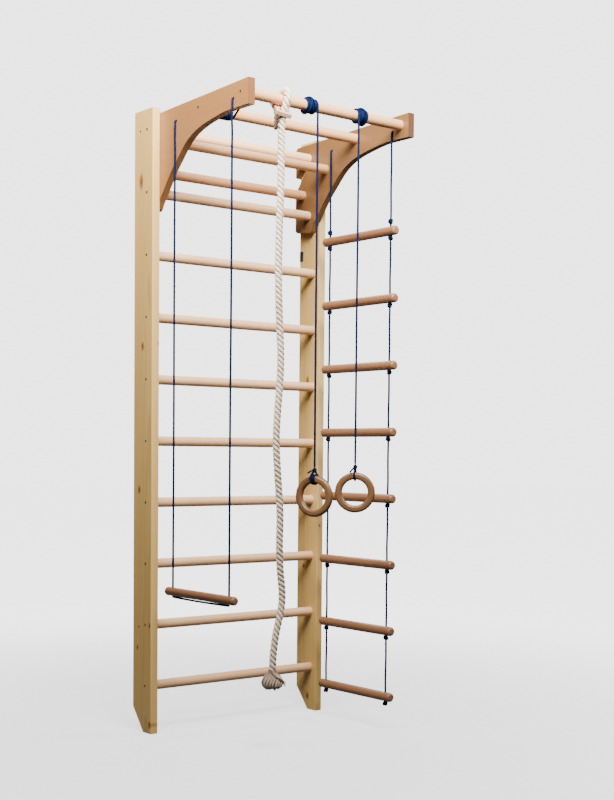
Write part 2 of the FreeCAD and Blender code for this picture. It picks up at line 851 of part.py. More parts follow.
def rope_loop():
    """Up from the whipped tail, through the slider, over the bar, down and through again."""
    centre, radius, rearward, legs = rope_legs()
    front, rear = legs
    rear_corner = rear[2] + rear[1] * slider_thick
    tail_end = V(rear_corner.x, rear_corner.y, front_bar[1] - rope_tail_drop)
    hang_y = front_bar[0] - rope_lead
    front_run = (hang_y - front[0].y) / front[1].y
    front_corner = front[0] + front[1] * front_run
    hinge = front_bar[1] - rope_hinge_drop
    hang_end = V(rope_x, hang_y, hinge + rope_radius + touch_gap)
    up = eased([tail_end, rear_corner, rear[0]], [rear_leg_turn])
    down = eased([front[0], front_corner, hang_end], [front_leg_turn])
    sway = radians(rear_leg_lean - front_leg_lean) / 2
    over = centre + (rearward * sin(sway) + V(0, 0, cos(sway))) * radius
    arc = Part.Arc(rear[0], over, front[0]).toShape()
    print("rope loop: radii %.1f, %.1f and %.1f" % (radius, front_leg_turn, rear_leg_turn))
    return tube(up + [arc] + down, rope_radius)


def climbing_rope():
    """The hanging rope from its hinge below the slider down to its end knot."""
    y = front_bar[0] - rope_lead
    top = front_bar[1] - rope_hinge_drop
    points = [V(rope_x, y, top)]
    points += [V(rope_x + side, y, height) for side, height in rope_route + [rope_end]]
    radii = []
    for i in range(1, len(points) - 1):
        before = points[i] - points[i - 1]
        after = points[i + 1] - points[i]
        turn = acos(unit(before).dot(unit(after)))
        radii.append(rope_bend_share * min(before.Length, after.Length) / tan(turn / 2))
    print("climbing rope: radii " + " ".join("%.0f" % radius for radius in radii))
    solid = tube(eased(points, radii), rope_radius)
    return solid.fuse(Part.makeSphere(rope_radius, points[0])).removeSplitter()


def rope_end_knot():
    """The knot at the rope's lower end, with its frayed tuft below."""
    x = rope_x + rope_end[0]
    y = front_bar[0] - rope_lead
    top = rope_end[1]
    low = top - rope_knot_high
    fray = rope_fray_diameter / 2

    def at(radius, height):
        return V(x + radius, y, height)
    widest = at(rope_knot_diameter / 2, top - rope_knot_high * rope_knot_widest_share)
    side = Part.Arc(at(rope_radius, top), widest, at(fray, low)).toShape()
    wire = Part.Wire([line(at(0, top), at(rope_radius, top)), side, line(at(fray, low), at(0, low)),
                      line(at(0, low), at(0, top))])
    return Part.Face(wire).revolve(V(x, y, low), V(0, 0, 1), 360).Solids[0]


# Everything, one file for each sub-part

def build():
    """Write all the sub-parts."""
    post = left_post()
    save("left_post", post)
    save("right_post", mirrored(post))
    places = rung_places()
    for i, place in enumerate(places):
        save("rung_%d" % (i + 1), rung(place))
    left_screws = [screw(-half_width, place, 1) for place in places]
    save("rung_screws", left_screws + [mirrored(shape) for shape in left_screws])
    plate = left_plate()
    save("left_plate", plate)
    save("right_plate", mirrored(plate))
    for name, diameter, place, screwed in frame_bars():
        save(name, frame_bar(diameter, place, screwed))
    left_screws = [screw(-post_inner_x, place, 1) for _, _, place, screwed in frame_bars() if screwed]
    save("bar_screws", left_screws + [mirrored(shape) for shape in left_screws])
    save("wall_hangers", [hanger(0, 1), mirrored(hanger(0, 1))])

    save("rope_loop", rope_loop())
    save("rope_slider", rope_slider())
    save("climbing_rope", climbing_rope())
    save("rope_end_knot", rope_end_knot())

    rings = [("left_ring", left_ring_x, left_ring_height, left_ring_turn, left_tail_dip,
              left_winding_pitch, 1, left_wrap_turns),
             ("right_ring", right_ring_x, right_ring_height, right_ring_turn, right_tail_dip,
              right_winding_pitch, -1, right_wrap_turns)]
    for name, x, height, turn, dip, pitch, side, extra_turns in rings:
        save(name, ring(x, height, turn))
        save(name + "_wrap", ring_wrap(x, height, turn, extra_turns))
        save(name + "_knot", ring_knot(x, height, dip))
        save(name + "_cord", ring_cord(x, height))
        save(name + "_winding", bar_winding(x, pitch, side))

    save("trapeze_winding", trapeze_winding())
    save("trapeze_cord_upper", upper_cords(trapeze_x))
    save("trapeze_cord_lower", trapeze_cord_lower())
    save("trapeze_bar", trapeze_bar())

    save("ladder_anchor", ladder_anchor())
    save("ladder_cord_upper", upper_cords(ladder_x))
    for i, height in enumerate(ladder_heights()):
        save("ladder_rung_%d" % (i + 1), ladder_rung(height))
        save("ladder_cord_%d" % (i + 1), ladder_cords(i))


build()
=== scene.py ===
import math
import random

import bpy
from mathutils import Matrix, Vector


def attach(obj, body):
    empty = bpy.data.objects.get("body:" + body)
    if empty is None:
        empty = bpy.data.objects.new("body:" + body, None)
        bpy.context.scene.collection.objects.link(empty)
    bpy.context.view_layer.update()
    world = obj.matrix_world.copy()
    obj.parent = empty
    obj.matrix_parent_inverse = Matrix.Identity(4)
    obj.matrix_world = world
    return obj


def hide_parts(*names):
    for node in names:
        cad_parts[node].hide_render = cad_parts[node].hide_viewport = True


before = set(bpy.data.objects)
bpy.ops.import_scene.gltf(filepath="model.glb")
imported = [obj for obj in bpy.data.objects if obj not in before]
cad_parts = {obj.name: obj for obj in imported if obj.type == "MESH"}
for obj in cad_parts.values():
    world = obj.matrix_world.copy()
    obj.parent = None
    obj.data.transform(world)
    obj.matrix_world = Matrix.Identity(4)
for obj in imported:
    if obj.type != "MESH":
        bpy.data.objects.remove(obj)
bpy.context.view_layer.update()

bpy.ops.object.select_all(action="DESELECT")


# The camera stands at the photograph's viewpoint, in front of the bars and to their left.
# Its line of sight is nearly level and low, so the frame is shifted up to take in the top.
camera_data = bpy.data.cameras.new("camera")
camera = bpy.data.objects.new("camera", camera_data)
bpy.context.scene.collection.objects.link(camera)
camera.matrix_world = (
    Matrix.Translation((-2.89829, -4.15325, 1.00112))
    @ Matrix.Rotation(math.radians(-38.5), 4, "Z")
    @ Matrix.Rotation(math.radians(87.53), 4, "X")
    @ Matrix.Rotation(math.radians(0.52), 4, "Z")
)
camera_data.sensor_width = 36.0
camera_data.lens = 60.35
camera_data.shift_y = 0.139
camera_data.clip_end = 60.0
bpy.context.scene.camera = camera


# The studio: a plain pale floor and four large soft lamps, the strongest in front and above.
# Floor and background look bright to the camera but throw little light on the part.
def join_up(tree, kind, sockets=None, **settings):
    """A shader node with its settings; a socket given is linked, and a value is set."""
    made = tree.nodes.new(kind)
    for key, value in settings.items():
        setattr(made, key, value)
    for key, value in (sockets or {}).items():
        if isinstance(value, bpy.types.NodeSocket):
            tree.links.new(value, made.inputs[key])
        else:
            made.inputs[key].default_value = value
    return made


def calc(tree, operation, first, second=0.0, third=0.0):
    """The output of one sum."""
    made = join_up(tree, "ShaderNodeMath", {0: first, 1: second, 2: third}, operation=operation)
    return made.outputs[0]


def rescaled(tree, value, low, high, start=0.0, end=1.0, how="LINEAR"):
    """A value that runs from start to end while the one given runs from low to high."""
    made = join_up(tree, "ShaderNodeMapRange", {0: value, 1: low, 2: high, 3: start, 4: end},
                   interpolation_type=how)
    return made.outputs[0]


def blended(tree, share, first, second, how="MIX"):
    """Two colours mixed by a share."""
    made = join_up(tree, "ShaderNodeMix", {0: share, 6: first, 7: second}, data_type="RGBA",
                   blend_type=how)
    return made.outputs[2]


def ramp(tree, share, stops):
    """A colour ramp over the share, with its stops given as place and colour."""
    made = join_up(tree, "ShaderNodeValToRGB", {0: share})
    points = made.color_ramp.elements
    while len(points) < len(stops):
        points.new(0.5)
    for point, (place, colour) in zip(points, stops):
        point.position = place
        point.color = (*colour, 1.0)
    return made.outputs[0]


def grains(tree, places, scale, detail=4.0, rough=0.55):
    """Noise over the places, stretched by the three scales."""
    mapped = join_up(tree, "ShaderNodeMapping", {"Vector": places, "Scale": scale}).outputs[0]
    made = join_up(tree, "ShaderNodeTexNoise",
                   {"Vector": mapped, "Scale": 1.0, "Detail": detail, "Roughness": rough})
    return made.outputs[0]


def finish(name, roughness):
    """A new material: its tree, its shader and the piece's own places in metres."""
    made = bpy.data.materials.new(name)
    made.use_nodes = True
    tree = made.node_tree
    shader = tree.nodes["Principled BSDF"]
    shader.inputs["Roughness"].default_value = roughness
    places = join_up(tree, "ShaderNodeTexCoord").outputs["Object"]
    return made, tree, shader, places


def grey(level):
    """A grey of this level."""
    return (level,) * 3


def raised(tree, shader, height, depth):
    """A bump of this depth in metres on the shader."""
    made = join_up(tree, "ShaderNodeBump", {"Height": height, "Distance": depth, "Strength": 1.0})
    tree.links.new(made.outputs[0], shader.inputs["Normal"])


near_glow, far_glow = 1.5, 3.3
floor_finish, tree, shader, places = finish("studio_floor", 0.9)
speckle = grains(tree, places, (3.0, 3.0, 3.0))
tone = ramp(tree, speckle, [(0.3, (0.44, 0.44, 0.435)), (0.7, (0.46, 0.46, 0.455))])
seen = join_up(tree, "ShaderNodeLightPath").outputs["Is Camera Ray"]
dim = (0.10, 0.10, 0.10, 1.0)
tree.links.new(blended(tree, seen, dim, tone), shader.inputs["Base Color"])
# Painted light: the floor glows for the camera alone, more weakly near the part, so it looks greyer
# round the part and whiter further off.
away = join_up(tree, "ShaderNodeVectorMath", {0: places}, operation="LENGTH").outputs["Value"]
glow = rescaled(tree, away, 0.5, 3.5, near_glow, far_glow, "SMOOTHSTEP")
shader.inputs["Emission Color"].default_value = (1.0, 1.0, 1.0, 1.0)
tree.links.new(calc(tree, "MULTIPLY", glow, seen), shader.inputs["Emission Strength"])
bpy.ops.mesh.primitive_plane_add(size=60.0, location=(0.0, 0.0, -0.0005))
floor = bpy.context.object
floor.name = "studio_floor"
floor.data.materials.append(floor_finish)
floor.select_set(False)

fill, backdrop = 0.065, 3.4
sky = bpy.data.worlds.new("studio")
bpy.context.scene.world = sky
sky.use_nodes = True
seen = join_up(sky.node_tree, "ShaderNodeLightPath").outputs["Is Camera Ray"]
power = rescaled(sky.node_tree, seen, 0.0, 1.0, fill, backdrop)
sky.node_tree.nodes["Background"].inputs[0].default_value = (1.0, 0.995, 0.985, 1.0)
sky.node_tree.links.new(power, sky.node_tree.nodes["Background"].inputs[1])

lamp_spread = math.radians(130)


def soft_lamp(name, place, aim, power, size):
    """A large soft lamp at a place, aimed at a point."""
    data = bpy.data.lights.new(name, "AREA")
    data.energy = power
    data.size = size
    data.spread = lamp_spread
    lamp = bpy.data.objects.new(name, data)
    lamp.location = place
    lamp.rotation_euler = (Vector(aim) - Vector(place)).to_track_quat("-Z", "Y").to_euler()
    bpy.context.scene.collection.objects.link(lamp)


soft_lamp("front_lamp", (-0.7, -2.0, 3.5), (0.0, -0.2, 2.9), 206.0, 1.3)
soft_lamp("left_lamp", (-1.9, -0.8, 3.2), (0.0, -0.2, 2.6), 64.0, 1.2)
soft_lamp("right_lamp", (2.6, -0.9, 2.6), (0.3, -0.2, 2.2), 42.0, 1.8)
soft_lamp("back_lamp", (1.4, 2.4, 3.6), (0.0, -0.2, 1.8), 34.0, 1.8)


# The climbing rope: three-strand off-white cotton rope, 25 mm thick, laid left-handed. It
# hangs from a sling round the front bar, has slight set bends, and ends in a frayed clump.
def spine(route):
    """The smooth line of a cord: its route's points, in metres, as a NURBS curve draws them."""
    data = bpy.data.curves.new("route", "CURVE")
    data.dimensions = "3D"
    spline = data.splines.new("NURBS")
    spline.points.add(len(route) - 1)
    for point, place in zip(spline.points, route):
        point.co = (*place, 1.0)
    spline.order_u = 3
    spline.use_endpoint_u = True
    spline.resolution_u = 16
    drawn = bpy.data.objects.new("route", data)
    bpy.context.scene.collection.objects.link(drawn)
    line = bpy.data.meshes.new_from_object(drawn)
    places = [vertex.co.copy() for vertex in line.vertices]
    bpy.data.objects.remove(drawn)
    bpy.data.meshes.remove(line)
    bpy.data.curves.remove(data)
    return places


def stepped(line, step):
    """The line again in even steps."""
    runs = [(b - a).length for a, b in zip(line, line[1:])]
    whole = sum(runs)
    count = max(2, round(whole / step))
    places = [line[0].copy()]
    passed, at = 0.0, 0
    for i in range(1, count):
        target = whole * i / count
        while passed + runs[at] < target:
            passed += runs[at]
            at += 1
        places.append(line[at].lerp(line[at + 1], (target - passed) / runs[at]))
    places.append(line[-1].copy())
    return places


def frames_along(line, side=Vector((1.0, 0.0, 0.0)), closed=False):
    """Tangent and two cross directions at each point, carried along without twisting."""
    count = len(line)
    carried = []
    for i in range(count):
        before = line[i - 1] if i or closed else line[0]
        after = line[(i + 1) % count] if i < count - 1 or closed else line[-1]
        along = (after - before).normalized()
        if i == 0 and abs(side.dot(along)) > 0.9:
            side = Vector((side.z, side.x, side.y))
        side = (side - along * side.dot(along)).normalized()
        carried.append((along, side, along.cross(side)))
    return carried


def long_of(line):
    """The length of a line."""
    return sum((b - a).length for a, b in zip(line, line[1:]))


def skin(parts, line, radius_at, sides, side=Vector((1.0, 0.0, 0.0)), closed=False, core=None):
    """Adds a tube with rounded ends round the line to the lists of points, faces and UVs in
    parts. A fourth list takes how far each point lies from the core, a line with as many places."""
    points, faces, uvs = parts[:3]
    carried = frames_along(line, side, closed)
    rings = []
    run = 0.0
    rows = []
    for i, place in enumerate(line):
        if i:
            run += (place - line[i - 1]).length
        rows.append((place, carried[i], 1.0, run))
    if not closed:
        size = radius_at(0.0, 0.0)
        cap, cap_scale = size * 0.3, 0.72
        first, last = rows[0], rows[-1]
        rows.insert(0, (first[0] - first[1][0] * cap, first[1], cap_scale, -cap))
        rows.append((last[0] + last[1][0] * cap, last[1], cap_scale, run + cap))
    for place, (_, right, up), scale, far in rows:
        ring = []
        for k in range(sides):
            angle = 2 * math.pi * k / sides
            size = radius_at(angle, far) * scale
            ring.append(len(points))
            points.append(place + (right * math.cos(angle) + up * math.sin(angle)) * size)
            if core:
                middle = core[min(max(len(rings) - 1, 0), len(core) - 1)]
                parts[3].append((points[-1] - middle).length)
        rings.append((ring, far))
    pairs = list(zip(rings, rings[1:]))
    if closed:
        pairs.append((rings[-1], (rings[0][0], run + (line[0] - line[-1]).length)))
    for (low, low_run), (high, high_run) in pairs:
        for k in range(sides):
            n = (k + 1) % sides
            faces.append((low[k], low[n], high[n], high[k]))
            uvs.append([(k / sides, low_run), ((k + 1) / sides, low_run),
                        ((k + 1) / sides, high_run), (k / sides, high_run)])
    if not closed:
        for ring, flip in [(rings[0][0], True), (rings[-1][0], False)]:
            order = ring[::-1] if flip else ring
            faces.append(tuple(order))
            uvs.append([(k / sides, 0.0) for k in range(sides)])


def as_piece(name, parts, material):
    """A piece made of the gathered points, faces and UVs."""
    points, faces, uvs = parts[:3]
    mesh = bpy.data.meshes.new(name)
    mesh.from_pydata(points, [], faces)
    layer = mesh.uv_layers.new(name="along")
    flat = [pair for corners in uvs for pair in corners]
    for loop, pair in zip(layer.data, flat):
        loop.uv = pair
    if len(parts) > 3:
        mesh.attributes.new("outward", "FLOAT", "POINT").data.foreach_set("value", parts[3])
    mesh.polygons.foreach_set("use_smooth", [True] * len(mesh.polygons))
    mesh.materials.append(material)
    mesh.update()
    piece = bpy.data.objects.new(name, mesh)
    bpy.context.scene.collection.objects.link(piece)
    return piece


rope_lay = 0.052
rope_thick = 0.025
rope_step = 0.003
fine_step = 0.002
yarns = 6
yarn_pitch = 0.040
yarn_groove = 0.055
groove_out, crest_out = 0.0055, 0.0118


def strands(parts, line, start_turn):
    """Three strands laid left-handed round the line. Returns the turn at the line's end."""
    carried = frames_along(line)
    strand_offset = rope_thick * 0.262
    strand_thick = rope_thick * 0.238
    run = 0.0
    turns = []
    for i in range(len(line)):
        if i:
            run += (line[i] - line[i - 1]).length
        turns.append(start_turn - 2 * math.pi * run / rope_lay)

    def yarned(angle, far):
        turned = yarns * (angle + 2 * math.pi * far / yarn_pitch)
        return strand_thick * (1 + yarn_groove * math.cos(turned))

    for k in range(3):
        centre = []
        for place, (_, right, up), turn in zip(line, carried, turns):
            a = turn + 2 * math.pi * k / 3
            centre.append(place + (right * math.cos(a) + up * math.sin(a)) * strand_offset)
        skin(parts, centre, yarned, 4 * yarns, core=line)
    return turns[-1]


def along_cord(tree):
    """How far round and how far along a tube each point lies, as its UVs say."""
    mapped = join_up(tree, "ShaderNodeUVMap", uv_map="along").outputs[0]
    return join_up(tree, "ShaderNodeSeparateXYZ", {0: mapped}).outputs


rope_finish, tree, shader, places = finish("cotton_rope", 0.88)
fibre = grains(tree, places, (900.0, 900.0, 300.0), 3.0)
patch = grains(tree, places, (14.0, 14.0, 9.0), 3.0)
across = along_cord(tree)
slant = calc(tree, "MULTIPLY_ADD", across[1], yarns / yarn_pitch,
             calc(tree, "MULTIPLY", across[0], yarns))
furrow = calc(tree, "ABSOLUTE", calc(tree, "SINE", calc(tree, "MULTIPLY", slant, math.pi)))
outward = join_up(tree, "ShaderNodeAttribute", attribute_name="outward").outputs["Fac"]
crest = rescaled(tree, outward, groove_out, crest_out)
cream = ramp(tree, patch, [(0.25, (0.63, 0.47, 0.34)), (0.5, (0.73, 0.57, 0.43)),
                           (0.8, (0.80, 0.65, 0.52))])
# Painted shade: the colour is darkened where the strands lie near the rope's line, in the grooves
# between them.
shadow = ramp(tree, crest, [(0.0, (0.09, 0.065, 0.05)), (0.5, (0.44, 0.37, 0.33)),
                            (0.85, (1.0, 1.0, 1.0))])
groove_shaded = blended(tree, 1.0, cream, shadow, "MULTIPLY")
# Painted shade: the furrows between the yarns are darkened as well.
furrow_shaded = blended(tree, ramp(tree, furrow, [(0.0, grey(0.5)), (0.4, grey(0.0))]), groove_shaded,
               (0.34, 0.26, 0.19, 1.0))
fuzz = ramp(tree, fibre, [(0.3, (0.55, 0.48, 0.40)), (0.7, (0.90, 0.86, 0.80))])
hairs = blended(tree, 0.35, furrow_shaded, fuzz, "SOFT_LIGHT")
tree.links.new(hairs, shader.inputs["Base Color"])
raised(tree, shader, calc(tree, "MULTIPLY_ADD", fibre, 0.5, furrow), 0.0006)
shader.inputs["Sheen Weight"].default_value = 0.25

sling_route = [
    (-0.17876, -0.55813, 2.0780), (-0.17876, -0.55813, 2.1100), (-0.17876, -0.55813, 2.1405),
    (-0.1782, -0.5638, 2.1599), (-0.1785, -0.5722, 2.1855), (-0.1812, -0.5977, 2.1955),
    (-0.1885, -0.6238, 2.1850), (-0.1932, -0.6332, 2.1600), (-0.1955, -0.6218, 2.1340),
    (-0.194, -0.6000, 2.0882), (-0.194, -0.6000, 2.0510),
]
sling_line = stepped(spine(sling_route), rope_step)
parts = ([], [], [], [])
sling_turn = 0.6
rope_turn = strands(parts, sling_line, sling_turn)
sling = as_piece("rope_sling_strands", parts, rope_finish)
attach(sling, "rope_sling")
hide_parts("rope_loop")

rope_x, rope_y = -0.194, -0.600
rope_route = [
    (0.0, 2.050), (0.0, 1.895), (-0.006, 1.735), (-0.0085, 1.590), (-0.0015, 1.430),
    (0.0065, 1.320), (0.001, 1.215), (-0.0095, 1.105), (-0.012, 1.030), (-0.006, 0.955),
    (0.001, 0.880), (0.0085, 0.795), (0.005, 0.700), (0.008, 0.620), (0.022, 0.520),
    (0.010, 0.455), (-0.005, 0.405), (-0.015, 0.345), (-0.019, 0.300), (-0.019, 0.274),
]
rope_spots = [(rope_x + side, rope_y, height) for side, height in rope_route]
rope_line = stepped(spine(rope_spots), rope_step)
parts = ([], [], [], [])
strands(parts, rope_line, rope_turn)
rope = as_piece("climbing_rope_strands", parts, rope_finish)
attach(rope, "hanging_rope")
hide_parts("climbing_rope")


# The rope's end: its strands are opened out into a round clump of thick yarns, which turn in
# below. One strand crosses over them at the front and ends at the side in a spiky tuft.
knot_x, knot_top = rope_x - 0.019, 0.277
clump_reach, clump_depth = 0.036, 0.0665
ridge_lay = 0.035
crossing_end = math.radians(-42)
chance = random.Random(7)
parts = ([], [], [], [])


def at_clump(angle, out, drop):
    """A place at this angle and distance from the rope's line, and this far below its top."""
    return Vector((knot_x + out * math.cos(angle), rope_y + out * math.sin(angle), knot_top - drop))


def hair(route, thick, tip, ridged=False):
    """Adds a yarn that thins towards its tip and may have five ridges along it. It gets painted
    shade by how far out it lies: the further out, the lighter."""
    line = stepped(spine(route), fine_step)
    whole = long_of(line)
    kept = len(parts[0])

    def radius_at(angle, far):
        ridge = math.cos(5 * angle + 2 * math.pi * far / ridge_lay) if ridged else 0.0
        return 0.5 * (thick + (tip - thick) * max(0.0, far) / whole) * (1 + 0.10 * ridge)

    skin(parts, line, radius_at, 15 if ridged else 6)
    for spot in parts[0][kept:]:
        # Painted shade: yarns near the rope's line are painted darker, those further out lighter.
        share = min(1.0, math.hypot(spot.x - knot_x, spot.y - rope_y) / clump_reach)
        parts[3].append(0.0060 + 0.0034 * share ** 2 + 0.0010 * chance.random())


# For each layer of yarns: their count, distance from the line above and at the widest place,
# thickness, and depth below the clump's top.
yarn_layers = [(20, 0.0085, 0.0325, 0.0100, 0.063), (11, 0.005, 0.0205, 0.0092, 0.064),
               (4, 0.002, 0.0085, 0.0090, 0.063)]
for count, near, wide, thick, hem in yarn_layers:
    for i in range(count):
        angle = 2 * math.pi * (i + 0.25 * chance.random()) / count
        out = wide * (0.93 + 0.12 * chance.random())
        low = hem - 0.008 * chance.random()
        hair([at_clump(angle + 0.9, near, 0.0),
              at_clump(angle + 0.7, near + 0.05 * (out - near), 0.012),
              at_clump(angle + 0.35, near + 0.75 * (out - near), 0.022),
              at_clump(angle + 0.1, out, 0.035), at_clump(angle, out, 0.047),
              at_clump(angle - 0.05, out * 0.82, 0.058),
              at_clump(angle - 0.05, out * 0.60, low)], thick, 0.0070, True)
        for j in range(3):
            spread = angle + (j - 1) * 0.0035 / max(0.008, out)
            deepest = min(clump_depth, low + 0.002 + 0.003 * chance.random())
            hair([at_clump(angle, out * 0.72, low - 0.006),
                  at_clump(spread, out * (0.62 + 0.06 * j), low),
                  at_clump(spread, out * (0.55 + 0.10 * j), deepest)], 0.0030, 0.0012)
hair([at_clump(crossing_end - 1.6, 0.010, 0.002), at_clump(crossing_end - 1.3, 0.020, 0.010),
      at_clump(crossing_end - 0.95, 0.0325, 0.019), at_clump(crossing_end - 0.45, 0.0375, 0.030),
      at_clump(crossing_end, 0.0350, 0.040)], 0.0105, 0.0090, True)
for i in range(16):
    way = crossing_end + 0.55 * (chance.random() - 0.35)
    drop = 0.038 + 0.020 * chance.random()
    hair([at_clump(way - 0.12, 0.031, 0.034 + 0.008 * chance.random()),
          at_clump(way, 0.039, 0.5 * (drop + 0.038)),
          at_clump(way + 0.03, 0.040 + 0.007 * chance.random(), drop)], 0.0034, 0.0011)
end_knot = as_piece("rope_end_knot_strands", parts, rope_finish)
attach(end_knot, "hanging_rope")
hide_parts("rope_end_knot")


# The blue cord: braided polypropylene, 6 mm thick and full in its free stretches, that carries
# the rings, the trapeze and the rope ladder. Its ends are knotted or wound round a bar.
cord_thick = 0.006
cord_fullness = 0.62
cord_sides = 12
cord_step = 0.003
plait_pitch = 0.0075
plaits_round = 4
cord_finish, tree, shader, places = finish("blue_braid", 0.62)
across = along_cord(tree)
round_turn = calc(tree, "MULTIPLY", across[0], 2 * math.pi * plaits_round)
along_turn = calc(tree, "MULTIPLY", across[1], 2 * math.pi / plait_pitch)
plaits = calc(tree, "MULTIPLY", calc(tree, "SINE", calc(tree, "ADD", round_turn, along_turn)),
              calc(tree, "SINE", calc(tree, "SUBTRACT", round_turn, along_turn)))
plait_height = calc(tree, "MULTIPLY_ADD", plaits, 0.5, 0.5)
tint = grains(tree, places, (60.0, 60.0, 25.0), 3.0)
# Painted shade: the braid is painted darker in the hollows between its plaits and lighter on their
# crowns.
navy_hollow_shaded = ramp(tree, plait_height, [(0.1, (0.0010, 0.0030, 0.015)), (0.55, (0.0014, 0.0064, 0.032)),
                                 (0.95, (0.0024, 0.0115, 0.058))])
worn = ramp(tree, tint, [(0.3, (0.25, 0.27, 0.32)), (0.7, (0.72, 0.75, 0.85))])
shade = blended(tree, 0.45, navy_hollow_shaded, worn, "SOFT_LIGHT")
tree.links.new(shade, shader.inputs["Base Color"])
raised(tree, shader, plait_height, 0.0005)
shader.inputs["Specular IOR Level"].default_value = 0.07


def cord_tube(parts, line, radius=cord_thick / 2, side=Vector((1.0, 0.0, 0.0))):
    """Adds an even stretch of the cord round the line."""
    skin(parts, line, lambda angle, far: radius, cord_sides, side)


def cord_piece(name, route, body, nodes, step=cord_step):
    """A free blue cord along its route, declared and given its finish."""
    line = stepped(spine(route), step)
    parts = ([], [], [])
    cord_tube(parts, line, cord_thick * cord_fullness)
    piece = as_piece(name, parts, cord_finish)
    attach(piece, body)
    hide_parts(*nodes)
    return piece


bight_points = 54
bight_wide, bight_high, bight_radius = 0.00155, 0.0036, 0.0029


def knotted(parts, centre, size, turn):
    """A small tight knot round a cord: three crossing bights."""
    line = []
    for i in range(bight_points):
        t = 2 * math.pi * i / bight_points
        x = math.sin(t) + 2 * math.sin(2 * t)
        y = math.cos(t) - 2 * math.cos(2 * t)
        spot = Vector((x * bight_wide * size, y * bight_wide * size,
                       -math.sin(3 * t) * bight_high * size))
        line.append(Vector(centre) + Matrix.Rotation(turn, 3, "Z") @ spot)
    skin(parts, line, lambda angle, far: bight_radius * size, 10, Vector((0.0, 0.0, 1.0)),
         closed=True)


def knot_piece(name, centre, body, turn, size):
    """A knot as a piece of its own."""
    parts = ([], [], [])
    knotted(parts, centre, size, turn)
    piece = as_piece(name, parts, cord_finish)
    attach(piece, body)
    return piece


# The rings' cords: each is wound round the front bar in five close turns with a crossing
# hitch over them, drops in front of the bar, and is knotted above its ring.
bar_y, bar_z = -0.598, 2.162
wound_radius = 0.0213
ring_row = -0.6193
ring_hinge = 2.138
bar_turns = 5.25
hitch_lift = 0.0058
turn_points = 12
corner_out = 1 / math.cos(math.pi / turn_points)

# For each ring: its name, the cord's x and lower end, the pitch and direction of the turns on
# the bar, the ring's centre height and turn, the tail's fall, and the turns round the ring.
ring_sets = [
    ("left_ring", -0.0565, 0.9580, 0.0080, 1, 0.8560, 68.0, 18.0, 3),
    ("right_ring", 0.1240, 0.9690, 0.0078, -1, 0.8670, 47.0, 38.0, 1),
]


def round_bar(x, angle, radius):
    """A place round the front bar; angle zero is in front, and it grows downwards."""
    return (x, bar_y - radius * math.cos(angle), bar_z - radius * math.sin(angle))


for name, x, _, pitch, side, *_ in ring_sets:
    first = -bar_turns * 2 * math.pi
    route = []
    for i in range(int(bar_turns * turn_points) + 1):
        angle = first + 2 * math.pi * (i + 0.5) / turn_points
        if angle < -0.2:
            route.append(round_bar(x + side * pitch * angle / (2 * math.pi), angle,
                                   wound_radius * corner_out))
    route += [(x, ring_row, bar_z - 0.003), (x, ring_row, ring_hinge + 0.009),
              (x, ring_row, ring_hinge)]
    cord_piece(name + "_bar_turns", route, "wall_bars", [name + "_winding"],
               step=fine_step)
    crossing = []
    hitch_points = 2 * turn_points + 4
    for i in range(hitch_points + 1):
        angle = 0.9 + 2 * math.pi * i / turn_points
        share = i / hitch_points
        sway = 0.5 - 0.5 * math.cos(2 * math.pi * share)
        lift = min(1.0, 4 * share, 4 * (1 - share))
        radius = wound_radius + 0.0005 + hitch_lift * lift
        crossing.append(round_bar(x - side * (0.004 + 0.032 * sway), angle, radius * corner_out))
    parts = ([], [], [])
    cord_tube(parts, stepped(spine(crossing), fine_step))
    hitch = as_piece(name + "_bar_hitch", parts, cord_finish)
    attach(hitch, "wall_bars")

